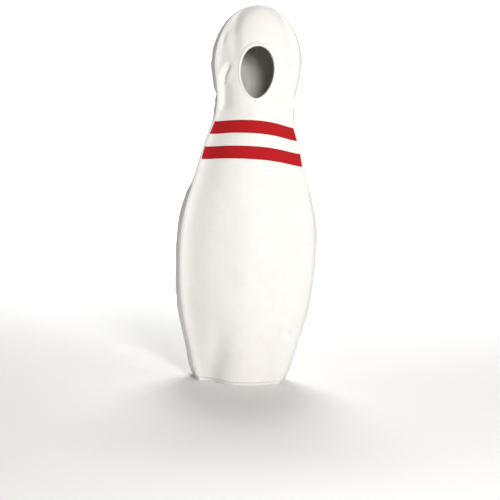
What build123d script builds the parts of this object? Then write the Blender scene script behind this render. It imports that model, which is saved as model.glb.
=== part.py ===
"""Adult bowling-pin costume: a hooded tunic of 10 mm foam laminate, empty and standing on its hem.

Millimetres, +Z up. The origin is the centre of the hem, on the surface it stands on. The front
faces -Y, and left and right are the wearer's: the wearer's left is +X.
"""

from build123d import *
from collections import namedtuple
from math import cos, radians, sin
import os

# Foam form -----------------------------------------------------------------------------------
HEIGHT = 1500
BROW_HEIGHT = 1265
WALL = 10
GUSSET_DEPTH = 160
SEAM_Y = GUSSET_DEPTH / 2 - WALL

# Half-width at the seam, bulge of the front, bulge of the back and bow of the side gusset, at
# even steps from the hem to the brow. The dome above the brow is half an ellipse.
Station = namedtuple("Station", "half_width front_bulge back_bulge side_bow")
BODY_STATIONS = [
    Station(158, 64, 60, 22),
    Station(195, 66, 62, 24),
    Station(223, 69, 64, 24),
    Station(246, 72, 66, 24),
    Station(257, 74, 67, 24),
    Station(261, 75, 68, 24),
    Station(257, 74, 67, 22),
    Station(240, 72, 66, 14),
    Station(213, 69, 64, 5),
    Station(188, 63, 60, 3),
    Station(155, 56, 53, 3),
    Station(152, 54, 52, 10),
    Station(165, 58, 56, 15),
]
STATION_STEP = BROW_HEIGHT / (len(BODY_STATIONS) - 1)
DOME_ANGLES = (18, 36, 52, 66, 77, 85)

# Openings and their bindings --------------------------------------------------------------------
FACE_WIDEST_HEIGHT = 1236
FACE_HALF_WIDTH = 66
FACE_RISE = 94
FACE_DROP = 105
CHIN_HALF_WIDTH = 40
CHIN_RISE = 29
FACE_BINDING_WIDTH = 9
ARMHOLE_BOTTOM = 755
ARMHOLE_TOP = 1090
ARMHOLE_HALF_WIDTH = 63
ARMHOLE_BINDING_WIDTH = 11
HEM_BAND = 12

# Red bands -----------------------------------------------------------------------------------------
STRIPE_MIDDLES = {"lower": 921, "upper": 1021}
STRIPE_WIDTH = 50
STRIPE_DROOP = 16
STRIPE_THICKNESS = 1
STRIPE_END_Y = GUSSET_DEPTH / 2 + 3.5
STRIPE_SLIT_MARGIN = 4

# Centre-back slit and its hook-and-loop closures -----------------------------------------------------
SLIT_BOTTOM = 540
SLIT_TOP = 1050
SLIT_WIDTH = 3
TAB_HEIGHTS = {"lower": 620, "middle": 795, "upper": 971}
TAB_BAND = 40
TAB_SEWN_X = 45
TAB_SEWN_LENGTH = 13
TAB_FREE_X = -62
TAB_FOLD_GAP = 0.3
PATCH_INNER_X = -18
PATCH_OUTER_X = -58
PATCH_BAND = 32
LOOP_TOP = 1.5
HOOK_BOTTOM = 1.8
HOOK_TOP = 3.3
TAB_TOP = 5.3

# Blank care label ------------------------------------------------------------------------------------
LABEL_BOTTOM = 1060
LABEL_TOP = 1120
LABEL_WIDTH = 40
LABEL_THICKNESS = 0.6

REACH = 700


def stations(inset):
    """(height, Station) pairs of the form, taken in by inset on every side."""
    rows = []
    for step, row in enumerate(BODY_STATIONS):
        rows.append((step * STATION_STEP, row._replace(half_width=row.half_width - inset)))
    brow = rows[-1][1]
    for angle in DOME_ANGLES:
        shrink = cos(radians(angle))
        height = BROW_HEIGHT + (HEIGHT - BROW_HEIGHT - inset) * sin(radians(angle))
        rows.append((height, Station(*(size * shrink for size in brow))))
    return rows


def pin_form(inset):
    """The closed pin shape through every station, four arcs round each one."""
    corner_y = GUSSET_DEPTH / 2 - inset
    with BuildPart() as form:
        for height, row in stations(inset):
            corner_x = row.half_width
            with BuildSketch(Plane.XY.offset(height)):
                with BuildLine():
                    ThreePointArc(
                        (-corner_x, -corner_y), (0, -corner_y - row.front_bulge), (corner_x, -corner_y)
                    )
                    ThreePointArc((corner_x, -corner_y), (corner_x + row.side_bow, 0), (corner_x, corner_y))
                    ThreePointArc((corner_x, corner_y), (0, corner_y + row.back_bulge), (-corner_x, corner_y))
                    ThreePointArc(
                        (-corner_x, corner_y), (-corner_x - row.side_bow, 0), (-corner_x, -corner_y)
                    )
                make_face()
        loft()
    return form.part


def layer(outer, inner):
    """The skin between two heights above the foam's outer surface."""
    with BuildPart() as skin:
        add(pin_form(-outer))
        add(pin_form(-inner), mode=Mode.SUBTRACT)
    return skin.part


def window(x_range, y_range, z_range):
    """A box from its two ends along each axis."""
    ends = (x_range, y_range, z_range)
    size = [high - low for low, high in ends]
    centre = [(low + high) / 2 for low, high in ends]
    with BuildPart() as box:
        with Locations(tuple(centre)):
            Box(*size)
    return box.part


def egg(margin):
    """The face opening's outline grown by margin, cut through the front along Y."""
    half_width = FACE_HALF_WIDTH + margin
    chin_x = CHIN_HALF_WIDTH + 0.7 * margin
    lowest = FACE_WIDEST_HEIGHT - FACE_DROP - margin
    chin_height = lowest + CHIN_RISE + 0.3 * margin
    with BuildPart() as prism:
        with BuildSketch(Plane.XZ):
            with BuildLine():
                EllipticalCenterArc(
                    (0, FACE_WIDEST_HEIGHT), half_width, FACE_RISE + margin, 0, arc_size=180
                )
                Spline(
                    (-half_width, FACE_WIDEST_HEIGHT),
                    (-chin_x, chin_height),
                    (0, lowest),
                    (chin_x, chin_height),
                    (half_width, FACE_WIDEST_HEIGHT),
                    tangents=((0, -1), (0, 1)),
                )
            make_face()
        extrude(amount=REACH)
    return prism.part


def armhole(margin):
    """The armhole's upright slot grown by margin, cut through both sides along X."""
    middle = (ARMHOLE_BOTTOM + ARMHOLE_TOP) / 2
    length = ARMHOLE_TOP - ARMHOLE_BOTTOM + 2 * margin
    with BuildPart() as prism:
        with BuildSketch(Plane.YZ):
            with Locations((0, middle)):
                SlotOverall(length, 2 * (ARMHOLE_HALF_WIDTH + margin), rotation=90)
        extrude(amount=REACH, both=True)
    return prism.part


def stripe_band(middle):
    """A band that droops towards both sides, as a slab right through the body along Y."""
    with BuildPart() as slab:
        with BuildSketch(Plane.XZ):
            with BuildLine():
                half_width = BODY_STATIONS[8].half_width
                low = middle - STRIPE_WIDTH / 2
                high = middle + STRIPE_WIDTH / 2
                ThreePointArc((-half_width, low - STRIPE_DROOP), (0, low), (half_width, low - STRIPE_DROOP))
                Line((half_width, low - STRIPE_DROOP), (half_width, high - STRIPE_DROOP))
                ThreePointArc((half_width, high - STRIPE_DROOP), (0, high), (-half_width, high - STRIPE_DROOP))
                Line((-half_width, high - STRIPE_DROOP), (-half_width, low - STRIPE_DROOP))
            make_face()
        extrude(amount=REACH, both=True)
    return slab.part


def save(name, node):
    """Label the piece and write it to its own file."""
    node.label = name
    export_step(node, f"parts/{name}.step")


os.makedirs("parts", exist_ok=True)

# The foam wall, open at the hem ------------------------------------------------------------------------
with BuildPart() as wall:
    add(pin_form(0))
    add(pin_form(WALL), mode=Mode.SUBTRACT)

EVERY_X = (-REACH, REACH)
FRONT_Y = (-REACH, -SEAM_Y)
MIDDLE_Y = (-SEAM_Y, SEAM_Y)
BACK_Y = (SEAM_Y, REACH)
ABOVE_HEM = (HEM_BAND, HEIGHT + 1)

# Hem ------------------------------------------------------------------------------------------------------
with BuildPart() as hem_binding:
    add(wall.part)
    split(bisect_by=Plane.XY.offset(HEM_BAND), keep=Keep.BOTTOM)
save("hem_binding", hem_binding.part)

# Front panel and the binding round its face opening ---------------------------------------------------------
with BuildPart() as front_sheet:
    add(wall.part)
    add(window(EVERY_X, FRONT_Y, ABOVE_HEM), mode=Mode.INTERSECT)

with BuildPart() as front_panel:
    add(front_sheet.part)
    add(egg(FACE_BINDING_WIDTH), mode=Mode.SUBTRACT)
save("front_panel", front_panel.part)

with BuildPart() as face_binding:
    add(front_sheet.part)
    add(egg(FACE_BINDING_WIDTH), mode=Mode.INTERSECT)
    add(egg(0), mode=Mode.SUBTRACT)
save("face_binding", face_binding.part)

# Pieces that come in a left and a right -------------------------------------------------------------------------
stripe_layer = layer(STRIPE_THICKNESS, 0)
SIDES = {"left": 1, "right": -1}
for side, sign in SIDES.items():
    half_x = tuple(sorted((0, sign * REACH)))

    # Back panel, with its half of the slit cut from its centre edge.
    with BuildPart() as back_panel:
        add(wall.part)
        add(window(half_x, BACK_Y, ABOVE_HEM), mode=Mode.INTERSECT)
        slit = window((-SLIT_WIDTH / 2, SLIT_WIDTH / 2), BACK_Y, (SLIT_BOTTOM, SLIT_TOP))
        add(slit, mode=Mode.SUBTRACT)
    save(f"back_panel_{side}", back_panel.part)

    # Gusset strip from hem to crown, parted by the armhole and its binding.
    with BuildPart() as strip:
        add(wall.part)
        add(window(half_x, MIDDLE_Y, ABOVE_HEM), mode=Mode.INTERSECT)

    middle_height = (ARMHOLE_BOTTOM + ARMHOLE_TOP) / 2
    parts_of_strip = {
        f"side_gusset_{side}": (HEM_BAND, middle_height),
        f"hood_gusset_{side}": (middle_height, HEIGHT + 1),
    }
    for name, heights in parts_of_strip.items():
        with BuildPart() as gusset:
            add(strip.part)
            add(window(half_x, MIDDLE_Y, heights), mode=Mode.INTERSECT)
            add(armhole(ARMHOLE_BINDING_WIDTH), mode=Mode.SUBTRACT)
        save(name, gusset.part)

    with BuildPart() as armhole_binding:
        add(strip.part)
        add(armhole(ARMHOLE_BINDING_WIDTH), mode=Mode.INTERSECT)
        add(armhole(0), mode=Mode.SUBTRACT)
    save(f"armhole_binding_{side}", armhole_binding.part)

    # Red bands on this half of the back, turned under just short of the slit.
    for level, middle in STRIPE_MIDDLES.items():
        near_slit = sign * STRIPE_SLIT_MARGIN
        half_back = window(tuple(sorted((near_slit, sign * REACH))), (STRIPE_END_Y, REACH), ABOVE_HEM)
        with BuildPart() as back_stripe:
            add(stripe_layer)
            add(half_back, mode=Mode.INTERSECT)
            add(stripe_band(middle), mode=Mode.INTERSECT)
        save(f"stripe_back_{level}_{side}", back_stripe.part)

# Red bands across the front -----------------------------------------------------------------------------------
for level, middle in STRIPE_MIDDLES.items():
    with BuildPart() as front_stripe:
        add(stripe_layer)
        add(window(EVERY_X, (-REACH, -STRIPE_END_Y), ABOVE_HEM), mode=Mode.INTERSECT)
        add(stripe_band(middle), mode=Mode.INTERSECT)
    save(f"stripe_front_{level}", front_stripe.part)

# Closures over the slit: a tab sewn to the left panel, with hooks, meets loops on the right panel ------------------
CLOSURE_PIECES = {
    "loop_patch": (layer(LOOP_TOP, 0), (PATCH_OUTER_X, PATCH_INNER_X), PATCH_BAND),
    "hook_patch": (layer(HOOK_TOP, HOOK_BOTTOM), (PATCH_OUTER_X, PATCH_INNER_X), PATCH_BAND),
    "closure_tab": (layer(TAB_TOP, HOOK_TOP), (TAB_FREE_X, TAB_SEWN_X - TAB_FOLD_GAP), TAB_BAND),
    "tab_sewn_end": (layer(TAB_TOP, 0), (TAB_SEWN_X, TAB_SEWN_X + TAB_SEWN_LENGTH), TAB_BAND),
}
for level, height in TAB_HEIGHTS.items():
    for piece, (skin, x_range, band) in CLOSURE_PIECES.items():
        with BuildPart() as closure:
            add(skin)
            z_range = (height - band / 2, height + band / 2)
            add(window(x_range, BACK_Y, z_range), mode=Mode.INTERSECT)
        save(f"{piece}_{level}", closure.part)

# Blank care label inside the back of the neck ---------------------------------------------------------------------
with BuildPart() as care_label:
    add(pin_form(WALL))
    add(pin_form(WALL + LABEL_THICKNESS), mode=Mode.SUBTRACT)
    label_x = (STRIPE_SLIT_MARGIN, STRIPE_SLIT_MARGIN + LABEL_WIDTH)
    add(window(label_x, BACK_Y, (LABEL_BOTTOM, LABEL_TOP)), mode=Mode.INTERSECT)
save("care_label", care_label.part)
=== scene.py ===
"""The looks of the bowling-pin costume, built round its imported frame.

Metres, +Z up, the front faces -Y. "left" and "right" are the wearer's, so left is +X.
Every foam panel is a grid laid on the frame's own surface: pressed in where the foam folds, rolled
over at its sewn edges, and closed with an inner face one foam thickness further in.
"""

import math

import bmesh
import bpy
import numpy as np
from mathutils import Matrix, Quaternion, Vector, noise
from mathutils.bvhtree import BVHTree


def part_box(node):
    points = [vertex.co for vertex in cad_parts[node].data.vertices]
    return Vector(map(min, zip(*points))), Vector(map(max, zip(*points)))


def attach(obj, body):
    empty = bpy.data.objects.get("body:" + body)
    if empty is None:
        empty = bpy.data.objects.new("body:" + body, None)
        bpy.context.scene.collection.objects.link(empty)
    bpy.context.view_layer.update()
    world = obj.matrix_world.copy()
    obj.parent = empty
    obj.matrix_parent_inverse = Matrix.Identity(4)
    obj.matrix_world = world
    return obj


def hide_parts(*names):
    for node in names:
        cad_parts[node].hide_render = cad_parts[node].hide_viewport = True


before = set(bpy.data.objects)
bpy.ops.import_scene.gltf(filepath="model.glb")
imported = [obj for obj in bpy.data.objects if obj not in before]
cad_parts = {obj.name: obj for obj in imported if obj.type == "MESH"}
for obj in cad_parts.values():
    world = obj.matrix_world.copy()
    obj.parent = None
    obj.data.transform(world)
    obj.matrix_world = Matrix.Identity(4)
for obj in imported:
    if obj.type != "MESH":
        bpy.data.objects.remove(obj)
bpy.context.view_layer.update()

MM = 0.001
SIDES = (("left", 1), ("right", -1))

# Foam sheet and seams
FOAM = 10 * MM
SEAM_ROLL = 4 * MM
SEAM_PULL = 1.6 * MM
SEAM_PULL_REACH = 14 * MM
SEAM_GAP = 0.15 * MM
FLANGE_DEPTH = 18 * MM
FLANGE_REACH = 48 * MM
SEAM_HOLD = 14 * MM
SEAM_BLEND = 12 * MM
HIP_HALF_WIDTH = 0.26
PEAK_OF_ONE = 2.7183  # brings the peak of r * exp(-r) up to 1
HEM_LEVELLING = 90 * MM
GUSSET_HALF_DEPTH = 80 * MM
BROAD_WAVES = 1.6 * MM, 0.16  # height and length of the foam's unevenness
FINE_WAVES = 0.5 * MM, 0.05

# Place and width of a fold's raised shoulder, as shares of its flank
SHOULDER_PLACE = 2.1
SHOULDER_WIDTH = 0.9

# Grid spacing, even across a panel and finer at its sewn edges
CELL = 5.5 * MM
EDGE_STEPS = np.array([0.0, 0.3, 1.0, 2.2, 4.0, 7.0, 11.0]) * MM

# Heights. The dome is an ellipse above the brow, cut off by the frame's small flat cap
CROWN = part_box("front_panel")[1].z
BROW = 1265 * MM
HEM_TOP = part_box("hem_binding")[1].z
CAP_DEGREES = 85
DOME_RISE = (CROWN - BROW) / math.sin(math.radians(CAP_DEGREES))
DOME_END_DEGREES = (84.5, 86, 87.5, 88.7, 89.9)
BESIDE_CENTRE = 0.55  # share of the half-width where the bulge is read, clear of the face and slit

# Crown
CROWN_SAG = 8 * MM
CROWN_SAG_START = 1425 * MM
CROWN_SAG_POWER = 2.5
CROWN_CORNER = 16 * MM

# Face opening, as in the frame: half an ellipse over a narrower chin
FACE_WIDEST = 1236 * MM
FACE_HALF_WIDTH = 66 * MM
FACE_RISE = 94 * MM
FACE_DROP = 105 * MM
FOREHEAD_POWER = 2.15
CHIN_POWER = 1.8
FACE_BINDING = 9 * MM

# Armholes
ARMHOLE_BOTTOM = 755 * MM
ARMHOLE_TOP = 1090 * MM
ARMHOLE_HALF_WIDTH = 64 * MM
ARMHOLE_MIDDLE = (ARMHOLE_BOTTOM + ARMHOLE_TOP) / 2
ARMHOLE_ARCS = ARMHOLE_BOTTOM + ARMHOLE_HALF_WIDTH, ARMHOLE_TOP - ARMHOLE_HALF_WIDTH
ARMHOLE_BINDING = 15 * MM

# Centre-back slit
SLIT_BOTTOM = 540 * MM
SLIT_TOP = 1050 * MM
SLIT_HALF_WIDTH = 1.5 * MM
SLIT_TAPER = 20 * MM

# The part of the back that the closures hold smooth, and the lengths over which the hold fades
HELD_HALF_WIDTH, HELD_SIDE_FADE = 150 * MM, 80 * MM
HELD_BOTTOM, HELD_BOTTOM_FADE = 500 * MM, 80 * MM
HELD_TOP, HELD_TOP_FADE = 1080 * MM, 60 * MM

# Folded tape: points round its section, how square the section is, and its puckers
TAPE_POINTS = 28
TAPE_POWER = 3.2
PUCKER, PUCKER_LENGTH, PUCKER_SEED = 0.05, 0.012, 9

# Red bands. Their ends droop, lean and stop short of the seams
STRIPE_HALF = 25 * MM
STRIPE_THICK = 1.3 * MM
STRIPE_MIDDLES = {"lower": 921 * MM, "upper": 1021 * MM}
STRIPE_DROOP = 16 * MM
STRIPE_LEAN = 4.5 * MM
STRIPE_SHORT = 3.5 * MM
STRIPE_BACK_START = 4 * MM
STRIPE_SEAM = 3 * MM

# A wave texture repeats every 0.314 / scale metres
WAVE = 0.314


# ---- the frame's shape


def tree_of(*nodes):
    """One ray-casting tree over some CAD nodes."""
    points, faces = [], []
    for node in nodes:
        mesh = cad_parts[node].data
        base = len(points)
        points += [v.co.copy() for v in mesh.vertices]
        faces += [[base + i for i in polygon.vertices] for polygon in mesh.polygons]
    return BVHTree.FromPolygons(points, faces)


def cast(tree, origin, direction):
    hit = tree.ray_cast(Vector(origin), Vector(direction))[0]
    return None if hit is None else np.array(hit)


def fill_gaps(values):
    """The values with every missing one filled in from its neighbours."""
    known = [i for i, value in enumerate(values) if value is not None]
    return np.interp(range(len(values)), known, [values[i] for i in known])


class Form:
    """The pin form: its half-width at the seams and how far each side bulges, at every height."""

    def __init__(self):
        body = np.linspace(2 * MM, BROW, 180)
        dome = BROW + DOME_RISE * np.sin(np.radians(np.arange(2, CAP_DEGREES, 1.5)))
        self.heights = np.concatenate([body, dome[dome < CROWN - 0.3 * MM]])
        front = tree_of("front_panel", "face_binding", "hem_binding")
        back = tree_of("back_panel_left", "back_panel_right", "hem_binding")
        side = tree_of("side_gusset_left", "hood_gusset_left", "hem_binding")
        bow = fill_gaps([self.side_reach(side, z) for z in self.heights])
        beside_corner = GUSSET_HALF_DEPTH - 5 * MM
        share = 1 - (beside_corner / GUSSET_HALF_DEPTH) ** 2
        width, front_bulge, back_bulge = [], [], []
        for z, outermost in zip(self.heights, bow):
            reach = cast(front, (1, -beside_corner, z), (-1, 0, 0))[0]
            half_width = (reach - share * outermost) / (1 - share)
            width.append(half_width)
            front_bulge.append(self.bulge(front, half_width, z, -1))
            back_bulge.append(self.bulge(back, half_width, z, 1))
        self.width = np.array(width)
        self.bow = np.maximum(bow - self.width, 1 * MM)
        self.front_bulge = np.array(front_bulge)
        self.back_bulge = np.array(back_bulge)
        self.close_crown()

    @staticmethod
    def side_reach(tree, z):
        hit = cast(tree, (1, 0, z), (-1, 0, 0))
        return None if hit is None or hit[0] < 0 else hit[0]

    @staticmethod
    def bulge(tree, half_width, z, sign):
        """Height of the arc over the seams, from one point on it beside the centre."""
        x = BESIDE_CENTRE * half_width
        y = abs(cast(tree, (x, sign, z), (0, -sign, 0))[1])
        corner = GUSSET_HALF_DEPTH
        centre = (x * x + y * y - half_width**2 - corner**2) / (2 * (y - corner))
        return math.hypot(half_width, corner - centre) + centre - corner

    def close_crown(self):
        """Carry the dome's ellipse on from the frame's small flat cap to the crown's ridge."""
        last = math.cos(math.asin((self.heights[-1] - BROW) / DOME_RISE))
        angles = np.radians(DOME_END_DEGREES)
        shrink = [min(math.cos(angle) / last, 1) for angle in angles]
        for name in ("width", "bow", "front_bulge", "back_bulge"):
            values = getattr(self, name)
            setattr(self, name, np.append(values, [values[-1] * share for share in shrink]))
        tops = [BROW + DOME_RISE * math.sin(angle) for angle in angles]
        self.heights = np.append(self.heights, tops)

    def at(self, name, z):
        return np.interp(z, self.heights, getattr(self, name))

    def front(self, x, z):
        return self.bulged(x, z, "front_bulge", -1)

    def back(self, x, z):
        return self.bulged(x, z, "back_bulge", 1)

    def bulged(self, x, z, name, sign):
        width, bulge = self.at("width", z), self.at(name, z)
        radius = (width**2 + bulge**2) / (2 * bulge)
        depth = GUSSET_HALF_DEPTH + bulge - radius + np.sqrt(np.maximum(radius**2 - x**2, 0))
        return np.stack([x, sign * depth, settled(z)], -1)

    def gusset(self, y, z, sign):
        width, bow = self.at("width", z), self.at("bow", z)
        radius = (GUSSET_HALF_DEPTH**2 + bow**2) / (2 * bow)
        reach = width + bow - radius + np.sqrt(np.maximum(radius**2 - y**2, 0))
        return np.stack([sign * reach, y, settled(z)], -1)


def settled(z):
    """Heights with the very top of the hood a little sunk under its own weight."""
    share = np.clip((z - CROWN_SAG_START) / (CROWN - CROWN_SAG_START), 0, 1)
    return z - CROWN_SAG * share**CROWN_SAG_POWER


form = Form()


def unit(vectors):
    return vectors / np.maximum(np.linalg.norm(vectors, axis=-1, keepdims=True), 1e-12)


def seam_normals(z, x_sign, y_sign):
    """Outward direction along a seam, halfway between the two panels that meet there."""
    bulge = form.at("front_bulge" if y_sign < 0 else "back_bulge", z)
    broad = 2 * np.arctan2(bulge, form.at("width", z))
    gusset = 2 * np.arctan2(form.at("bow", z), GUSSET_HALF_DEPTH)
    level = np.zeros_like(z)
    sideways = x_sign * (np.sin(broad) + np.cos(gusset))
    outward = unit(np.stack([sideways, y_sign * (np.cos(broad) + np.sin(gusset)), level], -1))
    low, high = np.maximum(z - 1 * MM, 0), np.minimum(z + 1 * MM, form.heights[-1])
    widening = x_sign * (form.at("width", high) - form.at("width", low))
    along = unit(np.stack([widening, level, high - low], -1))
    return unit(outward - along * np.sum(outward * along, -1, keepdims=True))


# ---- folds


def smooth_step(value):
    value = np.clip(value, 0, 1)
    return value * value * (3 - 2 * value)


class Fold:
    """A soft valley pressed into a panel along a line. Sizes in millimetres.

    steep and gentle are the widths of its two flanks: gentle lies to the right of the line as it
    runs from its first point to its last. ends are the shares of its length over which it fades.
    """

    def __init__(self, points, depth, steep, gentle, ends, ridge=0.25):
        self.points = np.array(points, float) * MM
        self.depth = depth * MM
        self.steep = steep * MM
        self.gentle = gentle * MM
        self.ends = ends
        self.ridge = ridge

    def press(self, x, z):
        """How far the surface sinks at each (x, z)."""
        best = np.full(x.shape, 1e9)
        across = np.zeros(x.shape)
        along = np.zeros(x.shape)
        lengths = np.linalg.norm(np.diff(self.points, axis=0), axis=1)
        start = 0.0
        for (ax, az), (bx, bz), length in zip(self.points, self.points[1:], lengths):
            dx, dz = (bx - ax) / length, (bz - az) / length
            t = np.clip((x - ax) * dx + (z - az) * dz, 0, length)
            distance = np.hypot(x - ax - t * dx, z - az - t * dz)
            side = np.sign((x - ax) * dz - (z - az) * dx)
            nearer = distance < best
            best = np.where(nearer, distance, best)
            across = np.where(nearer, side * distance, across)
            along = np.where(nearer, (start + t) / lengths.sum(), along)
            start += length
        width = np.where(across > 0, self.gentle, self.steep)
        valley = np.exp(-((across / width) ** 2))
        beyond = np.abs(across) - SHOULDER_PLACE * width
        shoulder = np.exp(-((beyond / (SHOULDER_WIDTH * width)) ** 2))
        first, last = self.ends
        fade = smooth_step(along / first) * smooth_step((1 - along) / last)
        return self.depth * fade * (valley - self.ridge * shoulder)


FRONT_FOLDS = [
    # hood, the wearer's right: a dart from the crown, a dent at the seam and the deep neck fold
    Fold([(-88, 1255), (-94, 1330), (-100, 1400), (-86, 1475)], 4.6, 15, 17, (0.35, 0.2)),
    Fold([(-150, 1322), (-152, 1350), (-136, 1395)], 7, 9, 11, (0.4, 0.4)),
    Fold([(-146, 1168), (-140, 1205), (-126, 1240), (-104, 1268)], 17, 8, 11, (0.3, 0.35), 0.1),
    Fold([(-132, 1066), (-140, 1120), (-141, 1175), (-136, 1225)], 12, 12, 34, (0.25, 0.4), 0.05),
    # hood, the wearer's left: a short crease from the seam, and a soft hollow under it
    Fold([(112, 1292), (134, 1275), (160, 1262)], 4.5, 7, 11, (0.5, 0.1)),
    Fold([(92, 1275), (112, 1200), (130, 1130)], 3.5, 18, 24, (0.4, 0.4)),
    # neck, above the upper band
    Fold([(-118, 1088), (-60, 1072), (10, 1066)], 2.0, 12, 16, (0.3, 0.6)),
    Fold([(125, 1090), (70, 1078), (20, 1070)], 2.0, 16, 12, (0.3, 0.6)),
    # body: the wide hollow that opens at the hem, and the slack above it
    Fold([(-122, -60), (-116, 48), (-95, 170), (-70, 330)], 20, 44, 56, (0.001, 0.6), 0.1),
    Fold([(-84, 300), (-92, 500), (-88, 640), (-80, 860)], 5, 50, 60, (0.3, 0.4), 0.1),
    # body, the wearer's left: a knock in the seam above the hem and a shallow hollow beside it
    Fold([(160, 236), (192, 204), (214, 180)], 8, 12, 15, (0.5, 0.3)),
    Fold([(196, 420), (188, 300), (150, 120)], 3, 26, 34, (0.4, 0.4)),
]
BACK_FOLDS = [
    Fold([(92, -60), (84, 90), (74, 190), (62, 330)], 13, 34, 26, (0.001, 0.5), 0.15),
    Fold([(-86, -60), (-84, 80), (-72, 180), (-64, 270)], 10, 26, 36, (0.001, 0.5), 0.15),
    Fold([(150, 380), (166, 560), (162, 720), (148, 880)], 6, 44, 30, (0.3, 0.35), 0.15),
    Fold([(-110, 300), (-140, 420), (-150, 580), (-142, 740)], 6, 30, 44, (0.3, 0.35), 0.15),
    Fold([(134, 1100), (130, 1190), (112, 1290)], 9, 18, 12, (0.3, 0.4)),
    Fold([(-90, 1250), (-68, 1350), (-58, 1440)], 5, 18, 14, (0.4, 0.3)),
    Fold([(-128, 1118), (-80, 1098), (-20, 1092)], 3.0, 12, 16, (0.3, 0.5)),
    Fold([(125, 1105), (80, 1086), (30, 1080)], 3.0, 16, 12, (0.3, 0.5)),
]
LEFT_GUSSET_FOLDS = [
    Fold([(-80, 190), (-30, 178), (40, 196)], 5, 12, 18, (0.1, 0.5)),
    Fold([(-20, 600), (10, 450), (0, 300)], 4, 26, 30, (0.4, 0.4)),
    Fold([(-80, 1140), (-10, 1128), (80, 1144)], 5, 10, 14, (0.1, 0.1)),
    Fold([(-60, 1240), (0, 1262), (60, 1246)], 2.5, 14, 18, (0.4, 0.4)),
]
RIGHT_GUSSET_FOLDS = [
    Fold([(80, 1130), (0, 1142), (-80, 1124)], 6, 10, 14, (0.1, 0.1)),
    Fold([(10, 680), (-16, 520), (6, 360)], 4, 26, 30, (0.4, 0.4)),
    Fold([(80, 330), (20, 316), (-50, 330)], 3, 14, 18, (0.2, 0.5)),
    Fold([(70, 1300), (10, 1282), (-50, 1296)], 3, 14, 18, (0.3, 0.4)),
]


def waviness(points, size, seed):
    """Slow unevenness of the sheet, as a distance for every point."""
    flat = points.reshape(-1, 3)
    shift = Vector((seed * 3.7, seed * 1.3, seed * 2.1))
    values = [noise.noise(Vector(point) / size + shift) for point in flat]
    return np.array(values).reshape(points.shape[:-1])


def flange(x, z):
    """How far a broad panel lies flat beside its seams, where two foam edges stiffen it."""
    away = np.maximum(form.at("width", z) - np.abs(x), 0)
    size = form.at("width", z) / HIP_HALF_WIDTH
    reach = away / (FLANGE_REACH * size)
    return FLANGE_DEPTH * size * PEAK_OF_ONE * reach * np.exp(-reach)


def held_at_seam(x, z):
    """Folds in a broad panel die out where it is sewn to its neighbours."""
    return smooth_step((form.at("width", z) - np.abs(x)) / SEAM_HOLD)


def relief(points, across, z, folds, seed):
    """How far a panel's surface sinks below the plain form."""
    depth = sum((fold.press(across, z) for fold in folds), np.zeros(across.shape))
    for (height, length), shift in ((BROAD_WAVES, 0), (FINE_WAVES, 5)):
        depth = depth + height * waviness(points, length, seed + shift)
    return depth


# ---- mesh building


def new_object(name, vertices, faces, materials, uv=None, material_of_face=None):
    mesh = bpy.data.meshes.new(name)
    mesh.from_pydata([tuple(v) for v in vertices], [], [tuple(f) for f in faces])
    for material in materials:
        mesh.materials.append(material)
    if material_of_face is not None:
        mesh.polygons.foreach_set("material_index", material_of_face)
    mesh.polygons.foreach_set("use_smooth", [True] * len(mesh.polygons))
    if uv is not None:
        layer = mesh.uv_layers.new(name="UVMap")
        corners = np.empty(len(mesh.loops), int)
        mesh.loops.foreach_get("vertex_index", corners)
        layer.data.foreach_set("uv", np.asarray(uv)[corners].ravel())
    mesh.update()
    piece = bpy.data.objects.new(name, mesh)
    bpy.context.collection.objects.link(piece)
    return piece


def grid_object(name, outer, inner, materials, uv, keep=None):
    """A closed sheet between two grids of points. Face materials: 0 outer, 1 inner, 2 edge."""
    rows, columns = outer.shape[:2]
    if keep is None:
        keep = np.ones((rows - 1, columns - 1), bool)
    count = rows * columns
    faces, slots = [], []
    for r in range(rows - 1):
        for c in range(columns - 1):
            if not keep[r, c]:
                continue
            first = r * columns + c
            ring = first, first + 1, first + columns + 1, first + columns
            faces.append(ring)
            slots.append(0)
            faces.append(tuple(count + i for i in reversed(ring)))
            slots.append(1)
            beside = (
                (r - 1, c, ring[0], ring[1]),
                (r, c + 1, ring[1], ring[2]),
                (r + 1, c, ring[2], ring[3]),
                (r, c - 1, ring[3], ring[0]),
            )
            for nr, nc, first, second in beside:
                if 0 <= nr < rows - 1 and 0 <= nc < columns - 1 and keep[nr, nc]:
                    continue
                faces.append((second, first, count + first, count + second))
                slots.append(2)
    vertices = np.concatenate([outer.reshape(-1, 3), inner.reshape(-1, 3)])
    used = sorted({i for face in faces for i in face})
    renumber = {old: new for new, old in enumerate(used)}
    faces = [tuple(renumber[i] for i in face) for face in faces]
    uv = np.concatenate([uv.reshape(-1, 2)] * 2)[used]
    top = len(materials) - 1
    return new_object(name, vertices[used], faces, materials, uv, [min(s, top) for s in slots])


def grid_normals(points):
    return unit(np.cross(np.gradient(points, axis=1), np.gradient(points, axis=0)))


def rolled(distance):
    """How far a sewn edge has turned down at a distance from its seam."""
    reach = np.clip(distance, 0, SEAM_ROLL)
    turned = SEAM_ROLL - np.sqrt(SEAM_ROLL**2 - (SEAM_ROLL - reach) ** 2)
    return turned + SEAM_PULL * np.exp(-distance / SEAM_PULL_REACH)


def fractions(span):
    """Positions from -1 to 1 across a span: fine at the sewn edges and even between them."""
    middle = max(int(round(2 * (span - EDGE_STEPS[-1]) / CELL)), 4)
    inner = np.linspace(-1, 1, middle + 1) * (1 - EDGE_STEPS[-1] / span)
    edge = 1 - EDGE_STEPS[:-1] / span
    return np.concatenate([-edge, inner, edge[::-1]])


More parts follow.
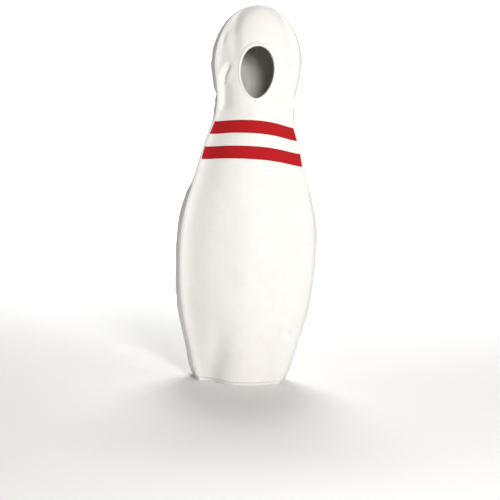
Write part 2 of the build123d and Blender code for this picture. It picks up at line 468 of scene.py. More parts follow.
def row_heights(bottom, top):
    """Even rows up the body, then rows at even turns of the dome."""
    body = np.linspace(bottom, min(BROW, top), max(int((min(BROW, top) - bottom) / CELL), 4))
    if top <= BROW:
        return body
    rise = form.heights[-1] - BROW
    turns = np.radians(np.concatenate([np.arange(1.5, 84, 1.5), [84, 85.5, 87, 88.3, 89.3, 89.9]]))
    return np.concatenate([body, BROW + rise * np.sin(turns)])


def snap_to_outline(across, z, outline, inside):
    """Drop the cells inside an outline, and pull the corners round the hole onto it."""
    held = inside(across, z)
    keep = ~(held[:-1, :-1] & held[1:, :-1] & held[:-1, 1:] & held[1:, 1:])
    mixed = held[:-1, :-1] | held[1:, :-1] | held[:-1, 1:] | held[1:, 1:]
    touched = np.zeros(held.shape, bool)
    rim = keep & mixed
    for dr in (0, 1):
        for dc in (0, 1):
            touched[dr:held.shape[0] - 1 + dr, dc:held.shape[1] - 1 + dc] |= rim
    gone = touched & held
    for r, c in zip(*np.nonzero(gone)):
        gaps = np.hypot(outline[:, 0] - across[r, c], outline[:, 1] - z[r, c])
        across[r, c], z[r, c] = outline[np.argmin(gaps)]
    return keep


def face_outline(margin):
    """The face opening grown by margin, as (x, z) points."""
    turn = np.linspace(0, 2 * math.pi, 720, endpoint=False)
    power = np.where(np.sin(turn) < 0, CHIN_POWER, FOREHEAD_POWER)
    rise = np.where(np.sin(turn) < 0, FACE_DROP, FACE_RISE) + margin
    x = np.sign(np.cos(turn)) * np.abs(np.cos(turn)) ** (2 / power) * (FACE_HALF_WIDTH + margin)
    z = FACE_WIDEST + np.sign(np.sin(turn)) * np.abs(np.sin(turn)) ** (2 / power) * rise
    return np.stack([x, z], -1)


def in_face(margin):
    def inside(x, z):
        above = z > FACE_WIDEST
        rise = np.where(above, FACE_RISE, FACE_DROP) + margin
        power = np.where(above, FOREHEAD_POWER, CHIN_POWER)
        half = FACE_HALF_WIDTH + margin
        return np.abs(x / half) ** power + np.abs((z - FACE_WIDEST) / rise) ** power < 1

    return inside


def armhole_outline(margin, count=900):
    """The armhole's slot grown by margin, as evenly spaced (y, z) points."""
    radius, (low, high) = ARMHOLE_HALF_WIDTH + margin, ARMHOLE_ARCS
    straight, arc = high - low, math.pi * radius
    total = 2 * (straight + arc)
    points = []
    for s in np.linspace(0, total, count, endpoint=False):
        if s < arc:
            turn = math.pi + s / radius
            points.append((radius * math.cos(turn), low + radius * math.sin(turn)))
        elif s < arc + straight:
            points.append((radius, low + s - arc))
        elif s < 2 * arc + straight:
            turn = (s - arc - straight) / radius
            points.append((radius * math.cos(turn), high + radius * math.sin(turn)))
        else:
            points.append((-radius, high - (s - 2 * arc - straight)))
    return np.array(points)


def in_armhole(margin):
    def inside(y, z):
        return np.hypot(y, z - np.clip(z, *ARMHOLE_ARCS)) < ARMHOLE_HALF_WIDTH + margin

    return inside


# ---- materials


class Nodes:
    """A short way to write a material's nodes. A colour is written as (red, green, blue)."""

    def __init__(self, name):
        self.material = bpy.data.materials.new(name)
        self.material.use_nodes = True
        self.tree = self.material.node_tree
        self.shader = self.tree.nodes["Principled BSDF"]

    def add(self, kind, inputs=None, **settings):
        node = self.tree.nodes.new("ShaderNode" + kind)
        for name, value in settings.items():
            setattr(node, name, value)
        for socket, value in (inputs or {}).items():
            if isinstance(value, bpy.types.NodeSocket):
                self.tree.links.new(value, node.inputs[socket])
            else:
                value = (*value, 1.0) if isinstance(value, tuple) else value
                node.inputs[socket].default_value = value
        return node

    def maths(self, operation, first, second=0.0):
        return self.add("Math", {0: first, 1: second}, operation=operation).outputs[0]

    def blend(self, factor, first, second, mode="MIX"):
        colours = {0: factor, 6: first, 7: second}
        return self.add("Mix", colours, data_type="RGBA", blend_type=mode).outputs[2]

    def cloud(self, place, scale, detail, **more):
        inputs = {"Vector": place, "Scale": scale, "Detail": detail, **more}
        return self.add("TexNoise", inputs).outputs["Fac"]

    def wave(self, place, repeat, direction, distortion, **more):
        """Ribs that repeat every so many metres."""
        inputs = {"Vector": place, "Scale": WAVE / repeat, "Distortion": distortion, **more}
        return self.add("TexWave", inputs, bands_direction=direction).outputs["Fac"]

    def finish(self, colour, height, depth, roughness, sheen=0.0):
        """Join the colour and the relief to the shader. depth is the relief in metres."""
        bump = self.add("Bump", {"Height": height, "Distance": depth})
        self.tree.links.new(bump.outputs[0], self.shader.inputs["Normal"])
        self.tree.links.new(colour, self.shader.inputs["Base Color"])
        self.shader.inputs["Roughness"].default_value = roughness
        self.shader.inputs["Specular IOR Level"].default_value = 0.25
        self.shader.inputs["Sheen Weight"].default_value = sheen
        self.shader.inputs["Sheen Roughness"].default_value = 0.6
        return self.material


def knit(name, light, dark, loop=1.1 * MM, nap=0.5, depth=0.16 * MM, sheen=0.2):
    """Brushed warp knit: fine ribs of loops up the cloth under a short nap."""
    n = Nodes(name)
    place = n.add("TexCoord").outputs["UV"]
    solid = n.add("TexCoord").outputs["Object"]
    uneven = {"Detail": 1.0, "Detail Scale": 2.0}
    ribs = n.wave(place, loop, "X", 0.6, **uneven)
    courses = n.wave(place, 1.4 * loop, "Y", 0.8, **uneven)
    weave = n.maths("MULTIPLY", ribs, courses)
    fuzz = n.cloud(solid, 900.0, 4.0, Roughness=0.7)
    height = n.maths("ADD", n.maths("MULTIPLY", weave, 1 - nap), n.maths("MULTIPLY", fuzz, nap))
    patch = n.add("ValToRGB", {"Fac": n.cloud(solid, 14.0, 5.0, Roughness=0.55)})
    patch.color_ramp.elements[0].position = 0.35
    patch.color_ramp.elements[1].position = 0.65
    base = n.blend(patch.outputs["Color"], light, dark)
    tone = n.blend(n.maths("MULTIPLY", height, 0.22), base, dark, "MULTIPLY")
    return n.finish(tone, height, depth, 0.88, sheen)


def open_foam(name, light, dark):
    """The cut edge and inner face of the foam: small open cells."""
    n = Nodes(name)
    place = n.add("TexCoord").outputs["Object"]
    cells = n.add("TexVoronoi", {"Vector": place, "Scale": 620.0})
    pores = n.cloud(place, 240.0, 3.0)
    height = n.maths("ADD", cells.outputs["Distance"], n.maths("MULTIPLY", pores, 0.5))
    tone = n.blend(cells.outputs["Distance"], dark, light)
    return n.finish(tone, height, 0.35 * MM, 0.95)


def woven_tape(name, light, dark, thread=0.7 * MM, depth=0.14 * MM, sheen=0.1):
    """Plain woven tape: over and under, both ways."""
    n = Nodes(name)
    place = n.add("TexCoord").outputs["UV"]
    solid = n.add("TexCoord").outputs["Object"]
    warp, weft = n.wave(place, thread, "X", 0.3), n.wave(place, thread, "Y", 0.3)
    cross = n.maths("ABSOLUTE", n.maths("SUBTRACT", warp, weft))
    height = n.maths("ADD", cross, n.maths("MULTIPLY", n.cloud(solid, 700.0, 3.0), 0.3))
    tone = n.blend(n.maths("MULTIPLY", cross, 0.5), dark, light)
    return n.finish(tone, height, depth, 0.8, sheen)


def napped(name, light, dark, scale, depth, sheen=0.4):
    """Felted or looped nap: short tangled fibres with no weave to be seen."""
    n = Nodes(name)
    place = n.add("TexCoord").outputs["Object"]
    fibres = n.cloud(place, scale, 6.0, Roughness=0.75, Distortion=1.2)
    tufts = n.add("TexVoronoi", {"Vector": place, "Scale": scale * 0.35})
    height = n.maths("ADD", fibres, n.maths("MULTIPLY", tufts.outputs["Distance"], 0.4))
    tone = n.blend(fibres, dark, light)
    worn = n.blend(n.maths("MULTIPLY", n.cloud(place, 18.0, 4.0), 0.25), tone, dark)
    return n.finish(worn, height, depth, 0.92, sheen)


WHITE_KNIT = knit("white_brushed_knit", (0.875, 0.86, 0.835), (0.845, 0.825, 0.79))
LINING_KNIT = knit("lining_knit", (0.60, 0.585, 0.56), (0.52, 0.50, 0.475), nap=0.3)
FOAM_CORE = open_foam("foam_core", (0.80, 0.77, 0.68), (0.58, 0.55, 0.46))
BINDING_KNIT = woven_tape("binding_tape", (0.885, 0.87, 0.845), (0.80, 0.78, 0.745))
# The face tape is the binding tape made lighter. The extra lightness is a painted highlight for the light
# that the rim's rounded roll catches.
FACE_TAPE_PAINTED_HIGHLIGHT = woven_tape("face_tape_painted_highlight", (0.93, 0.905, 0.86), (0.86, 0.83, 0.775))
RED_FELT = napped("red_felt", (0.54, 0.008, 0.012), (0.36, 0.004, 0.006), 750.0, 0.30 * MM, 0.05)
TAB_TAPE = woven_tape("tab_tape", (0.84, 0.82, 0.78), (0.66, 0.63, 0.58), 1.0 * MM, 0.22 * MM)
LOOP_NAP = napped("loop_tape", (0.82, 0.82, 0.80), (0.50, 0.50, 0.48), 1100.0, 0.6 * MM)
HOOK_TAPE = woven_tape("hook_base", (0.72, 0.72, 0.70), (0.55, 0.55, 0.53), 0.8 * MM)
LABEL_SATIN = woven_tape("label_satin", (0.86, 0.86, 0.86), (0.78, 0.78, 0.78), 0.4 * MM, 0.05 * MM)
WHITE_THREAD = woven_tape("white_thread", (0.82, 0.79, 0.74), (0.62, 0.59, 0.54), 0.3 * MM)
RED_THREAD = woven_tape("red_thread", (0.50, 0.02, 0.03), (0.30, 0.01, 0.02), 0.3 * MM)


# ---- foam panels


def settle(piece, body, slot, *nodes):
    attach(piece, body)
    if nodes:
        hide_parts(*nodes)


def run_along(points, axis=0):
    """Distance along a line or grid of points."""
    steps = np.diff(points, axis=axis, prepend=np.take(points, [0], axis))
    return np.cumsum(np.linalg.norm(steps, axis=-1), axis=axis)


def panel(name, node, surface, across, z, sink, edge, edge_normals, keep=None):
    """One foam panel from its two grid coordinates. edge is each point's distance to its seams."""
    plain = surface(across, z)
    normals = grid_normals(plain)
    near = np.exp(-((edge / SEAM_BLEND) ** 2))[..., None]
    normals = unit(normals * (1 - near) + edge_normals * near)
    normals[..., 2] *= smooth_step(plain[..., 2] / HEM_LEVELLING)
    corner = np.abs(plain) - np.array([0, GUSSET_HALF_DEPTH, CROWN - CROWN_SAG])
    off_corner = smooth_step(np.linalg.norm(corner, axis=-1) / CROWN_CORNER)[..., None]
    normals = unit(normals * off_corner + np.array([0, 0, 1.0]) * (1 - off_corner))
    base = plain - normals * sink[..., None]
    outer = base - normals * rolled(edge)[..., None] * off_corner
    inner = base - normals * FOAM
    uv = np.stack([run_along(plain, 1), run_along(plain)], -1)
    piece = grid_object(name, outer, inner, [WHITE_KNIT, LINING_KNIT, FOAM_CORE], uv, keep)
    settle(piece, "tunic", "white_foam", node)


def front_sink(x, z):
    return held_at_seam(x, z) * relief(form.front(x, z), x, z, FRONT_FOLDS, 1) + flange(x, z)


def at_closures(x, z):
    """1 where the sewn-on tabs and patches hold the back smooth, and 0 well away from them."""
    beside = smooth_step((HELD_HALF_WIDTH - np.abs(x)) / HELD_SIDE_FADE)
    over = smooth_step((z - HELD_BOTTOM) / HELD_BOTTOM_FADE)
    return beside * over * smooth_step((HELD_TOP - z) / HELD_TOP_FADE)


def back_sink(x, z):
    sink = held_at_seam(x, z) * relief(form.back(x, z), x, z, BACK_FOLDS, 2) + flange(x, z)
    return sink * (1 - at_closures(x, z))


def build_front():
    heights = row_heights(HEM_TOP, form.heights[-1])
    share = fractions(form.width.max())
    width = form.at("width", heights) - SEAM_GAP
    x = width[:, None] * share[None, :]
    z = np.repeat(heights[:, None], len(share), axis=1)
    keep = snap_to_outline(x, z, face_outline(FACE_BINDING - 1 * MM), in_face(FACE_BINDING - 1 * MM))
    left = seam_normals(heights, 1, -1)[:, None, :]
    right = seam_normals(heights, -1, -1)[:, None, :]
    edge_normals = np.where(share[None, :, None] > 0, left, right)
    edge = np.maximum(form.at("width", z) - np.abs(x), 0)
    panel("front_foam", "front_panel", form.front, x, z, front_sink(x, z), edge, edge_normals, keep)


def build_back(side, sign):
    """Half of the back, from the centre seam out. The slit's edges are turned like the seams."""
    heights = row_heights(HEM_TOP, form.heights[-1])
    half = form.width.max() / 2
    share = (fractions(half) + 1) / 2
    width = form.at("width", heights) - SEAM_GAP
    in_slit = smooth_step((heights - SLIT_BOTTOM) / SLIT_TAPER)
    in_slit = in_slit * smooth_step((SLIT_TOP - heights) / SLIT_TAPER)
    centre = np.minimum(SEAM_GAP + SLIT_HALF_WIDTH * in_slit, width * 0.5)
    away = centre[:, None] + (width - centre)[:, None] * share[None, :]
    order = slice(None, None, -sign)
    x = sign * away[:, order]
    z = np.repeat(heights[:, None], len(share), axis=1)
    to_centre = np.maximum(away[:, order] - centre[:, None], 0)
    to_seam = np.maximum(form.at("width", z) - np.abs(x), 0)
    straight_back = np.gradient(form.back(np.zeros_like(heights), heights), axis=0)
    centre_normals = unit(np.cross(straight_back, np.array([1.0, 0, 0])))
    centre_normals *= np.sign(centre_normals[:, 1:2])
    seam = seam_normals(heights, sign, 1)
    nearer = (to_seam**3 / (to_seam**3 + to_centre**3 + (0.1 * MM) ** 3))[..., None]
    edge_normals = centre_normals[:, None] * nearer + seam[:, None] * (1 - nearer)
    edge = np.minimum(to_centre, to_seam)
    panel(f"back_foam_{side}", f"back_panel_{side}", form.back, x, z, back_sink(x, z), edge, edge_normals)


def gusset_sink(surface, y, z, sign):
    held = smooth_step((GUSSET_HALF_DEPTH - np.abs(y)) / SEAM_HOLD)
    folds = LEFT_GUSSET_FOLDS if sign > 0 else RIGHT_GUSSET_FOLDS
    return held * relief(surface(y, z), y, z, folds, 3 + sign)


def build_gusset(side, sign, part, bottom, top):
    """A strip between front and back, ended by the armhole's curve."""
    heights = row_heights(bottom, top)
    share = fractions(GUSSET_HALF_DEPTH)[::sign]
    y = np.repeat(share[None, :] * (GUSSET_HALF_DEPTH - SEAM_GAP), len(heights), axis=0)
    z = np.repeat(heights[:, None], len(share), axis=1)
    margin = ARMHOLE_BINDING - 1 * MM
    keep = snap_to_outline(y, z, armhole_outline(margin), in_armhole(margin))

    def surface(across, height):
        return form.gusset(across, height, sign)

    front, back = seam_normals(heights, sign, -1), seam_normals(heights, sign, 1)
    edge_normals = np.where(share[None, :, None] < 0, front[:, None], back[:, None])
    edge = np.maximum(GUSSET_HALF_DEPTH - np.abs(y), 0)
    if top > BROW:
        to_crown = np.where(z > BROW, np.abs(surface(y, z)[..., 0]), 1.0)
        at_crown = to_crown < edge
        edge_normals = np.where(at_crown[..., None], np.array([0, 0, 1.0]), edge_normals)
        edge = np.minimum(edge, to_crown)
    panel(f"{part}_foam_{side}", f"{part}_gusset_{side}", surface, y, z,
          gusset_sink(surface, y, z, sign), edge, edge_normals, keep)


# ---- bindings and bands


def binding(name, node, path, across, outward, width, thick, tape=BINDING_KNIT):
    """Tape folded over a foam edge: a rounded section carried along a closed path."""
    turn = np.linspace(0, 2 * math.pi, TAPE_POINTS, endpoint=False)
    side = np.sign(np.cos(turn)) * np.abs(np.cos(turn)) ** (2 / TAPE_POWER) / 2
    lift = np.sign(np.sin(turn)) * np.abs(np.sin(turn)) ** (2 / TAPE_POWER) / 2
    pucker = 1 + PUCKER * waviness(path, PUCKER_LENGTH, PUCKER_SEED)
    width = np.broadcast_to(width, len(path))
    rows = []
    for offset, height in zip(side, lift):
        beside = across * (offset * width)[:, None]
        rows.append(path + beside + outward * (height * pucker * thick)[:, None])
    faces = []
    for i in range(len(path)):
        here, there = i * TAPE_POINTS, (i + 1) % len(path) * TAPE_POINTS
        for j in range(TAPE_POINTS):
            k = (j + 1) % TAPE_POINTS
            faces.append((here + j, here + k, there + k, there + j))
    around = np.arange(TAPE_POINTS) * (2 * (width.max() + thick) / TAPE_POINTS)
    uv = np.stack(np.broadcast_arrays(run_along(path)[:, None], around[None, :]), -1).reshape(-1, 2)
    piece = new_object(name, np.stack(rows, axis=1).reshape(-1, 3), faces, [tape], uv)
    turn_outward(piece)
    settle(piece, "tunic", "white_binding", node)


def turn_outward(piece):
    mesh = bmesh.new()
    mesh.from_mesh(piece.data)
    bmesh.ops.recalc_face_normals(mesh, faces=mesh.faces)
    mesh.to_mesh(piece.data)
    mesh.free()


def path_frame(path, outward):
    """Directions across a closed path and out of it, square to it and to each other."""
    along = unit(np.roll(path, -1, axis=0) - np.roll(path, 1, axis=0))
    across = unit(np.cross(along, outward))
    return across, unit(np.cross(across, along))


def surface_normals(surface, across, z):
    step = 1.5 * MM
    over = surface(across + step, z) - surface(across - step, z)
    up = surface(across, z + step) - surface(across, z - step)
    return unit(np.cross(over, up))


def stitch_row(path, outward, closed=True, length=2.8 * MM, gap=1.3 * MM, thick=0.45 * MM):
    """Stitches along a path, as (vertices, faces): flat-ended lozenges of thread lying on the cloth."""
    points = np.concatenate([path, path[:1]]) if closed else path
    normals = np.concatenate([outward, outward[:1]]) if closed else outward
    run = run_along(points)
    count = max(int(run[-1] / (length + gap)), 1)
    pitch = run[-1] / count
    starts = np.arange(count) * pitch + gap / 2

    def sample(at, values):
        return np.stack([np.interp(at, run, values[:, k]) for k in range(3)], -1)

    ends = [sample(starts + length * share, points) for share in (0.0, 0.22, 0.78, 1.0)]
    rise = unit(sample(starts + length / 2, normals))
    along = unit(ends[3] - ends[0])
    beside = unit(np.cross(along, rise))
    sizes = (0.35, 1.0, 1.0, 0.35)
    lifts = (-0.55, 0.25, 0.25, -0.55)
    vertices = []
    for end, size, lift in zip(ends, sizes, lifts):
        for turn in np.radians([45, 135, 225, 315]):
            ring = beside * math.cos(turn) + rise * math.sin(turn)
            vertices.append(end + rise * lift * thick + ring * size * thick)
    vertices = np.stack(vertices, axis=1).reshape(-1, 3)
    shape = [(0, 3, 2, 1), (12, 13, 14, 15)]
    for k in range(3):
        for j in range(4):
            shape.append((4 * k + j, 4 * k + (j + 1) % 4, 4 * k + 4 + (j + 1) % 4, 4 * k + 4 + j))
    faces = [tuple(16 * i + v for v in face) for i in range(count) for face in shape]
    return vertices, faces


def stitches_over(surface, sink, across, z, height, facing=1, closed=True):
    """A row of stitches at a height over a surface that is pressed in."""
    lift = surface_normals(surface, across, z) * facing
    line = surface(across, z) + lift * (height - sink(across, z))[:, None]
    return stitch_row(line, lift, closed)


def stitching(name, rows, material, body="tunic", slot="white_binding"):
    """One piece from several rows of stitches."""
    vertices, faces, base = [], [], 0
    for row_vertices, row_faces in rows:
        vertices.append(row_vertices)
        faces += [tuple(base + v for v in face) for face in row_faces]
        base += len(row_vertices)
    points = np.concatenate(vertices)
    settle(new_object(name, points, faces, [material], points[:, [0, 2]]), body, slot)


def build_face_binding():
    """Tape round the face opening, folded wider over the forehead than at the cheeks."""
    def width_at(z):
        return FACE_BINDING + 0.5 * MM + 4.5 * MM * smooth_step((z - FACE_WIDEST) / FACE_RISE)

    rim = face_outline(0)
    out_of_rim = face_outline(1 * MM) - rim
    middle = rim + out_of_rim * (width_at(rim[:, 1]) / 2 / MM)[:, None]
    x, z = middle[:, 0], middle[:, 1]
    outward = surface_normals(form.front, x, z)
    path = form.front(x, z) - outward * (front_sink(x, z) + FOAM / 2 - 1.2 * MM)[:, None]
    binding("face_binding_tape", "face_binding", path, *path_frame(path, outward),
            width_at(rim[:, 1]), FOAM + 4 * MM, FACE_TAPE_PAINTED_HIGHLIGHT)
    row = rim + out_of_rim * ((width_at(rim[:, 1]) - 1.6 * MM) / MM)[:, None]
    stitches = stitches_over(form.front, front_sink, row[:, 0], row[:, 1], 2.2 * MM)
    stitching("face_binding_stitches", [stitches], WHITE_THREAD)


def build_armhole_binding(side, sign):
    def surface(y, z):
        return form.gusset(y, z, sign)

    def sunk(y, z):
        return gusset_sink(surface, y, z, sign)

    outline = armhole_outline(ARMHOLE_BINDING / 2)
    y, z = outline[:, 0], outline[:, 1]
    outward = surface_normals(surface, y, z) * sign
    path = surface(y, z) - outward * (sunk(y, z) + FOAM / 2 + 1.0 * MM)[:, None]
    binding(f"armhole_tape_{side}", f"armhole_binding_{side}", path, *path_frame(path, outward),
            ARMHOLE_BINDING, FOAM + 3 * MM)
    row = armhole_outline(ARMHOLE_BINDING - 4.2 * MM, 700)
    stitches = stitches_over(surface, sunk, row[:, 0], row[:, 1], 0.25 * MM, sign)
    stitching(f"armhole_stitches_{side}", [stitches], WHITE_THREAD)


def hem_outline(z):
    """Points once round the body at a height, with their outward directions."""
    share = np.linspace(-1, 1, 300, endpoint=False)
    level, flat = np.full(len(share), z), np.zeros(len(share))
    x, y = share * float(form.at("width", z)), share * GUSSET_HALF_DEPTH
    left, right = form.gusset(y, level, 1), form.gusset(-y, level, -1)
    points = np.concatenate([form.front(x, level), left, form.back(-x, level), right])
    sink = np.concatenate([front_sink(x, level), flat, back_sink(-x, level), flat])
    along = np.roll(points, -2, axis=0) - np.roll(points, 2, axis=0)
    outward = unit(np.cross(along, np.array([0, 0, 1.0])))
    return points - outward * sink[:, None], outward


def build_hem_binding():
    path, outward = hem_outline(HEM_TOP / 2 + 0.4 * MM)
    path = path - outward * (FOAM / 2 - 0.6 * MM)
    across = np.broadcast_to(np.array([0, 0, 1.0]), path.shape)
    binding("hem_tape", "hem_binding", path, across, outward, HEM_TOP + 0.6 * MM, FOAM + 1.4 * MM)
    line, outward = hem_outline(HEM_TOP - 2.6 * MM)
    stitching("hem_stitches", [stitch_row(line + outward * 0.9 * MM, outward)], WHITE_THREAD)


def build_stripe(name, node, surface, sink, middle, side):
    """A red band laid on the foam and stitched down along both edges.

    side is 0 for a band right across the front, and 1 or -1 for the wearer's left or right half of
    the back. The band's ends run along the panel's seams.
    """
    facing = 1 if side == 0 else -1
    wide = 2 * STRIPE_HALF
    edge = np.concatenate([EDGE_STEPS[:5], np.linspace(7 * MM, 43 * MM, 9), wide - EDGE_STEPS[:5][::-1]])
    share = fractions(form.at("width", middle) / (1 if side == 0 else 2))
    if side > 0:
        share = (share[::-1] + 1) / 2
    elif side < 0:
        share = -(share + 1) / 2
    lean = STRIPE_LEAN if side == 0 else 0
    start = side * STRIPE_BACK_START

    def place(share, rise):
        z = middle - STRIPE_HALF + rise - (STRIPE_DROOP * share**2 + lean * share * np.abs(share))
        reach = form.at("width", z) - STRIPE_SHORT
        return start + share * (reach - abs(start)), z

    s_grid, rise = np.meshgrid(share, edge)
    x, z = place(s_grid, rise)
    normals = surface_normals(surface, x, z) * facing
    base = surface(x, z) - normals * sink(x, z)[..., None]
    from_end = np.minimum(np.abs(x - x[:, :1]), np.abs(x - x[:, -1:]))
    to_edge = np.minimum(np.minimum(rise, wide - rise), from_end)
    thick = STRIPE_THICK * np.sqrt(np.clip(1 - (1 - np.clip(to_edge / STRIPE_THICK, 0, 1)) ** 2, 0, 1))
    lift = 0.35 * MM * (1 + waviness(base, 0.03, 4)) * np.exp(-to_edge / (4 * MM))
    outer = base + normals * (0.25 * MM + thick + lift)[..., None]
    inner = base + normals * 0.1 * MM
    piece = grid_object(name, outer, inner, [RED_FELT], np.stack([x, z], -1))
    settle(piece, "tunic", "red_felt", node)
    rows = []
    for offset in (STRIPE_SEAM, wide - STRIPE_SEAM):
        line = place(share, np.full(len(share), offset))
        rows.append(stitches_over(surface, sink, *line, 1.75 * MM, facing, False))
    stitching(f"{name}_stitches", rows, RED_THREAD, slot="red_felt")


def build_stripes():
    for level, middle in STRIPE_MIDDLES.items():
        build_stripe(f"front_band_{level}", f"stripe_front_{level}", form.front, front_sink, middle, 0)
        for side, sign in SIDES:
            build_stripe(f"back_band_{level}_{side}", f"stripe_back_{level}_{side}", form.back, back_sink,
                         middle, sign)


# ---- closures, label


def spans(node):
    """The ends of a CAD node's box, across and up."""
    low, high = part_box(node)
    return (low[0], high[0]), (low[2], high[2])


def shrunk(ends, inset):
    return [(low + inset, high - inset) for low, high in ends]


def patch_on_back(name, node, body, slot, material, low, high, corner):
    """A flat piece over the back, between two heights above the foam, with rounded corners."""
    x_ends, z_ends = spans(node)
    columns, rows = (max(int((ends[1] - ends[0]) / (1.6 * MM)), 6) for ends in (x_ends, z_ends))
    u, v = np.meshgrid(np.linspace(1, -1, columns), np.linspace(-1, 1, rows))
    half_x, half_z = (x_ends[1] - x_ends[0]) / 2, (z_ends[1] - z_ends[0]) / 2
    mid_x, mid_z = sum(x_ends) / 2, sum(z_ends) / 2
    pull_x = np.maximum(np.abs(v) * half_z - (half_z - corner), 0)
    inset = corner - np.sqrt(np.maximum(corner**2 - pull_x**2, 0))
    x = mid_x + u * (half_x - inset)
    z = mid_z + v * half_z
    normals = -surface_normals(form.back, x, z)
    base = form.back(x, z)
    to_edge = np.minimum(half_x - inset - np.abs(x - mid_x), half_z - np.abs(z - mid_z))
    soft = np.clip(to_edge / (0.9 * MM), 0, 1)
    top = low + (high - low) * (0.45 + 0.55 * np.sqrt(1 - (1 - soft) ** 2))
    outer = base + normals * top[..., None]
    piece = grid_object(name, outer, base + normals * low, [material], np.stack([x, z], -1))
    settle(piece, body, slot, node)


def box_stitches(ends, height, cross):
    """Stitches round a rectangle on the back, with a cross inside where it carries the load."""
    (left, right), (low, high) = ends
    corners = [(left, low), (right, low), (right, high), (left, high), (left, low)]
    lines = list(zip(corners, corners[1:]))
    if cross:
        lines += [(corners[0], corners[2]), (corners[1], corners[3])]
    rows = []
    for (ax, az), (bx, bz) in lines:
        x, z = np.linspace(ax, bx, 12), np.linspace(az, bz, 12)
        lift = -surface_normals(form.back, x, z)
        rows.append(stitch_row(form.back(x, z) + lift * height, lift, False, 2.2 * MM, 1.0 * MM, 0.32 * MM))
    return rows


def hook_field(level, ends, height):
    """Rows of small moulded hooks standing off the hook patch towards the foam."""
    stem = [(-0.22, -0.12, 0), (0.22, -0.12, 0), (0.22, 0.12, 0), (-0.22, 0.12, 0)]
    bend = [(-0.1, 0.25, -0.75), (0.1, 0.25, -0.75), (0.1, 0.5, -0.5), (-0.1, 0.5, -0.5)]
    columns, rows = (np.arange(low, high, 1.9 * MM) for low, high in ends)
    vertices, faces = [], []
    for x in columns:
        for z in rows:
            foot = form.back(np.array([x]), np.array([z]))[0]
            outward = -surface_normals(form.back, np.array([x]), np.array([z]))[0]
            top = foot + outward * height
            base = len(vertices)
            for dx, dz, lift in stem + bend:
                vertices.append(top + np.array([dx, 0, dz]) * MM + outward * lift * MM)
            faces.append((base + 4, base + 5, base + 6, base + 7))
            for k, after in ((0, 1), (1, 2), (2, 3), (3, 0)):
                faces.append((base + k, base + 4 + k, base + 4 + after, base + after))
            faces.append((base, base + 1, base + 2, base + 3))
    points = np.array(vertices)
    piece = new_object(f"hooks_{level}", points, faces, [HOOK_TAPE], points[:, [0, 2]])
    settle(piece, f"tab_{level}", "hook_tape")


def build_closure(level):
    """One closure over the slit: sewn end and loops on the tunic, flap and hooks on the tab."""
    tunic, tab = "tunic", f"tab_{level}"
    pieces = (
        ("sewn_end", "tab_sewn_end", tunic, "tab_webbing", TAB_TAPE, 0.15, 5.3, 0.3),
        ("loops", "loop_patch", tunic, "loop_tape", LOOP_NAP, 0.15, 1.5, 1.5),
        ("hook_base", "hook_patch", tab, "hook_tape", HOOK_TAPE, 2.5, 3.3, 1.5),
        ("flap", "closure_tab", tab, "tab_webbing", TAB_TAPE, 3.3, 5.3, 9.0),
    )
    for part, stem, body, slot, material, low, high, corner in pieces:
        patch_on_back(f"{part}_{level}", f"{stem}_{level}", body, slot, material, low * MM, high * MM,
                      corner * MM)
    over_tab = 5.45 * MM
    rows = box_stitches(shrunk(spans(f"tab_sewn_end_{level}"), 2.2 * MM), over_tab, True)
    stitching(f"sewn_end_stitches_{level}", rows, WHITE_THREAD, tunic, "tab_webbing")
    inset = 1.8 * MM
    inside = shrunk(spans(f"hook_patch_{level}"), inset)
    rows = box_stitches(inside, over_tab, False)
    stitching(f"flap_stitches_{level}", rows, WHITE_THREAD, tab, "tab_webbing")
    hook_field(level, shrunk(inside, inset), 2.5 * MM)


def build_label():
    """The blank label, sewn along its top edge inside the back of the neck and curling off it."""
    x_ends, z_ends = spans("care_label")
    u, v = np.meshgrid(np.linspace(0, 1, 24), np.linspace(0, 1, 34))
    x = x_ends[1] - u * (x_ends[1] - x_ends[0])
    z = z_ends[0] + v * (z_ends[1] - z_ends[0])
    normals = -surface_normals(form.back, x, z)
    drop = FOAM + 0.4 * MM + 7 * MM * (1 - v) ** 1.6 * (0.8 + 0.4 * np.sin(3 * u))
    outer = form.back(x, z) - normals * (drop + back_sink(x, z))[..., None]
    inner = outer - normals * 0.35 * MM
    piece = grid_object("blank_label", outer, inner, [LABEL_SATIN], np.stack([x, z], -1))
    settle(piece, "tunic", "label_satin", "care_label")


# ---- build it all


build_front()
for side, sign in SIDES:
    build_back(side, sign)
    build_gusset(side, sign, "side", HEM_TOP, ARMHOLE_MIDDLE)
    build_gusset(side, sign, "hood", ARMHOLE_MIDDLE, form.heights[-1])
    build_armhole_binding(side, sign)
build_face_binding()
build_hem_binding()
build_stripes()
for level in ("lower", "middle", "upper"):
    build_closure(level)
build_label()


# ---- stage, light and camera


def build_stage():
    """A pale sweep: floor, a wide curve and a wall behind."""
    half, front, back, radius, top = 8.0, -8.0, 7.0, 3.0, 8.0
    profile = [(front, 0.0), (back - radius, 0.0)]
    profile += [
        (back - radius + radius * math.sin(t), radius - radius * math.cos(t))
        for t in np.radians(np.arange(6, 91, 6))
    ]
    profile.append((back, top))
    vertices, faces = [], []
    for y, z in profile:
        vertices += [(-half, y, z), (half, y, z)]
    for i in range(len(profile) - 1):
        faces.append((2 * i, 2 * i + 1, 2 * i + 3, 2 * i + 2))
    n = Nodes("pale_sweep")
    n.shader.inputs["Base Color"].default_value = (0.90, 0.90, 0.90, 1)
    n.shader.inputs["Roughness"].default_value = 0.95
    sweep = new_object("sweep", vertices, faces, [n.material])


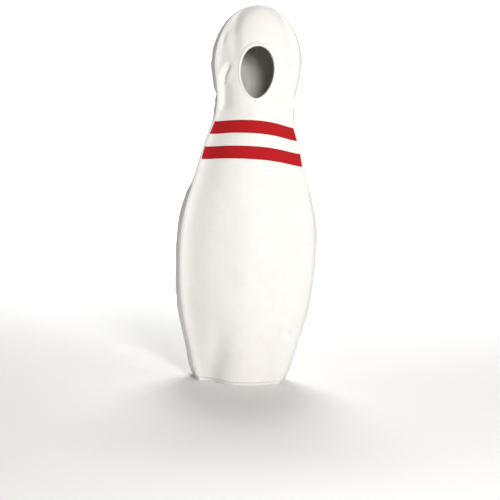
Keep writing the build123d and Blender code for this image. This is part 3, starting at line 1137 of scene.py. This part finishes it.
def area_light(name, place, target, size, power, tint=(1, 1, 1)):
    data = bpy.data.lights.new(name, "AREA")
    data.shape = "DISK"
    data.size = size
    data.energy = power
    data.color = tint
    light = bpy.data.objects.new(name, data)
    light.location = place
    direction = Vector(target) - Vector(place)
    light.rotation_euler = direction.to_track_quat("-Z", "Y").to_euler()
    bpy.context.collection.objects.link(light)


def build_lights():
    world = bpy.data.worlds.new("soft_room")
    world.use_nodes = True
    glow = world.node_tree.nodes["Background"].inputs
    glow["Color"].default_value = (1, 0.965, 0.91, 1)
    glow["Strength"].default_value = 0.1
    bpy.context.scene.world = world
    area_light("key", (1.0, -4.25, 1.9), (0, 0, 0.8), 1.3, 152, (1.0, 0.99, 0.975))
    area_light("side_fill", (4.0, -1.6, 1.6), (0, 0, 0.8), 1.6, 20, (1.0, 0.99, 0.98))
    area_light("wall_wash", (0, 3.6, 6.0), (0, 7.0, 1.5), 3.0, 400)
    area_light("floor_wash", (0, 2.2, 5.0), (0, 2.2, 0.0), 2.4, 60)


# Metres and degrees
CAMERA_DISTANCE = 4.5
CAMERA_HEIGHT = 0.987
CAMERA_SIDE = -0.141
CAMERA_PITCH = 5.83
CAMERA_ROLL = 3.28
CAMERA_VIEW = 25.13
CAMERA_AZIMUTH = -2.0


def build_camera():
    data = bpy.data.cameras.new("camera")
    data.sensor_fit = "HORIZONTAL"
    data.angle = math.radians(CAMERA_VIEW)
    camera = bpy.data.objects.new("camera", data)
    camera.location = (CAMERA_SIDE, -CAMERA_DISTANCE, CAMERA_HEIGHT)
    azimuth = math.radians(CAMERA_AZIMUTH)
    pitch, roll = math.radians(CAMERA_PITCH), math.radians(CAMERA_ROLL)
    level = math.cos(pitch)
    ahead = Vector((-math.sin(azimuth) * level, math.cos(azimuth) * level, -math.sin(pitch)))
    facing = ahead.to_track_quat("-Z", "Y")
    camera.rotation_mode = "QUATERNION"
    camera.rotation_quaternion = facing @ Quaternion((0, 0, 1), roll)
    bpy.context.collection.objects.link(camera)
    bpy.context.scene.camera = camera


bpy.context.scene.view_settings.view_transform = "Standard"
build_stage()
build_lights()
build_camera()

bpy.context.view_layer.update()
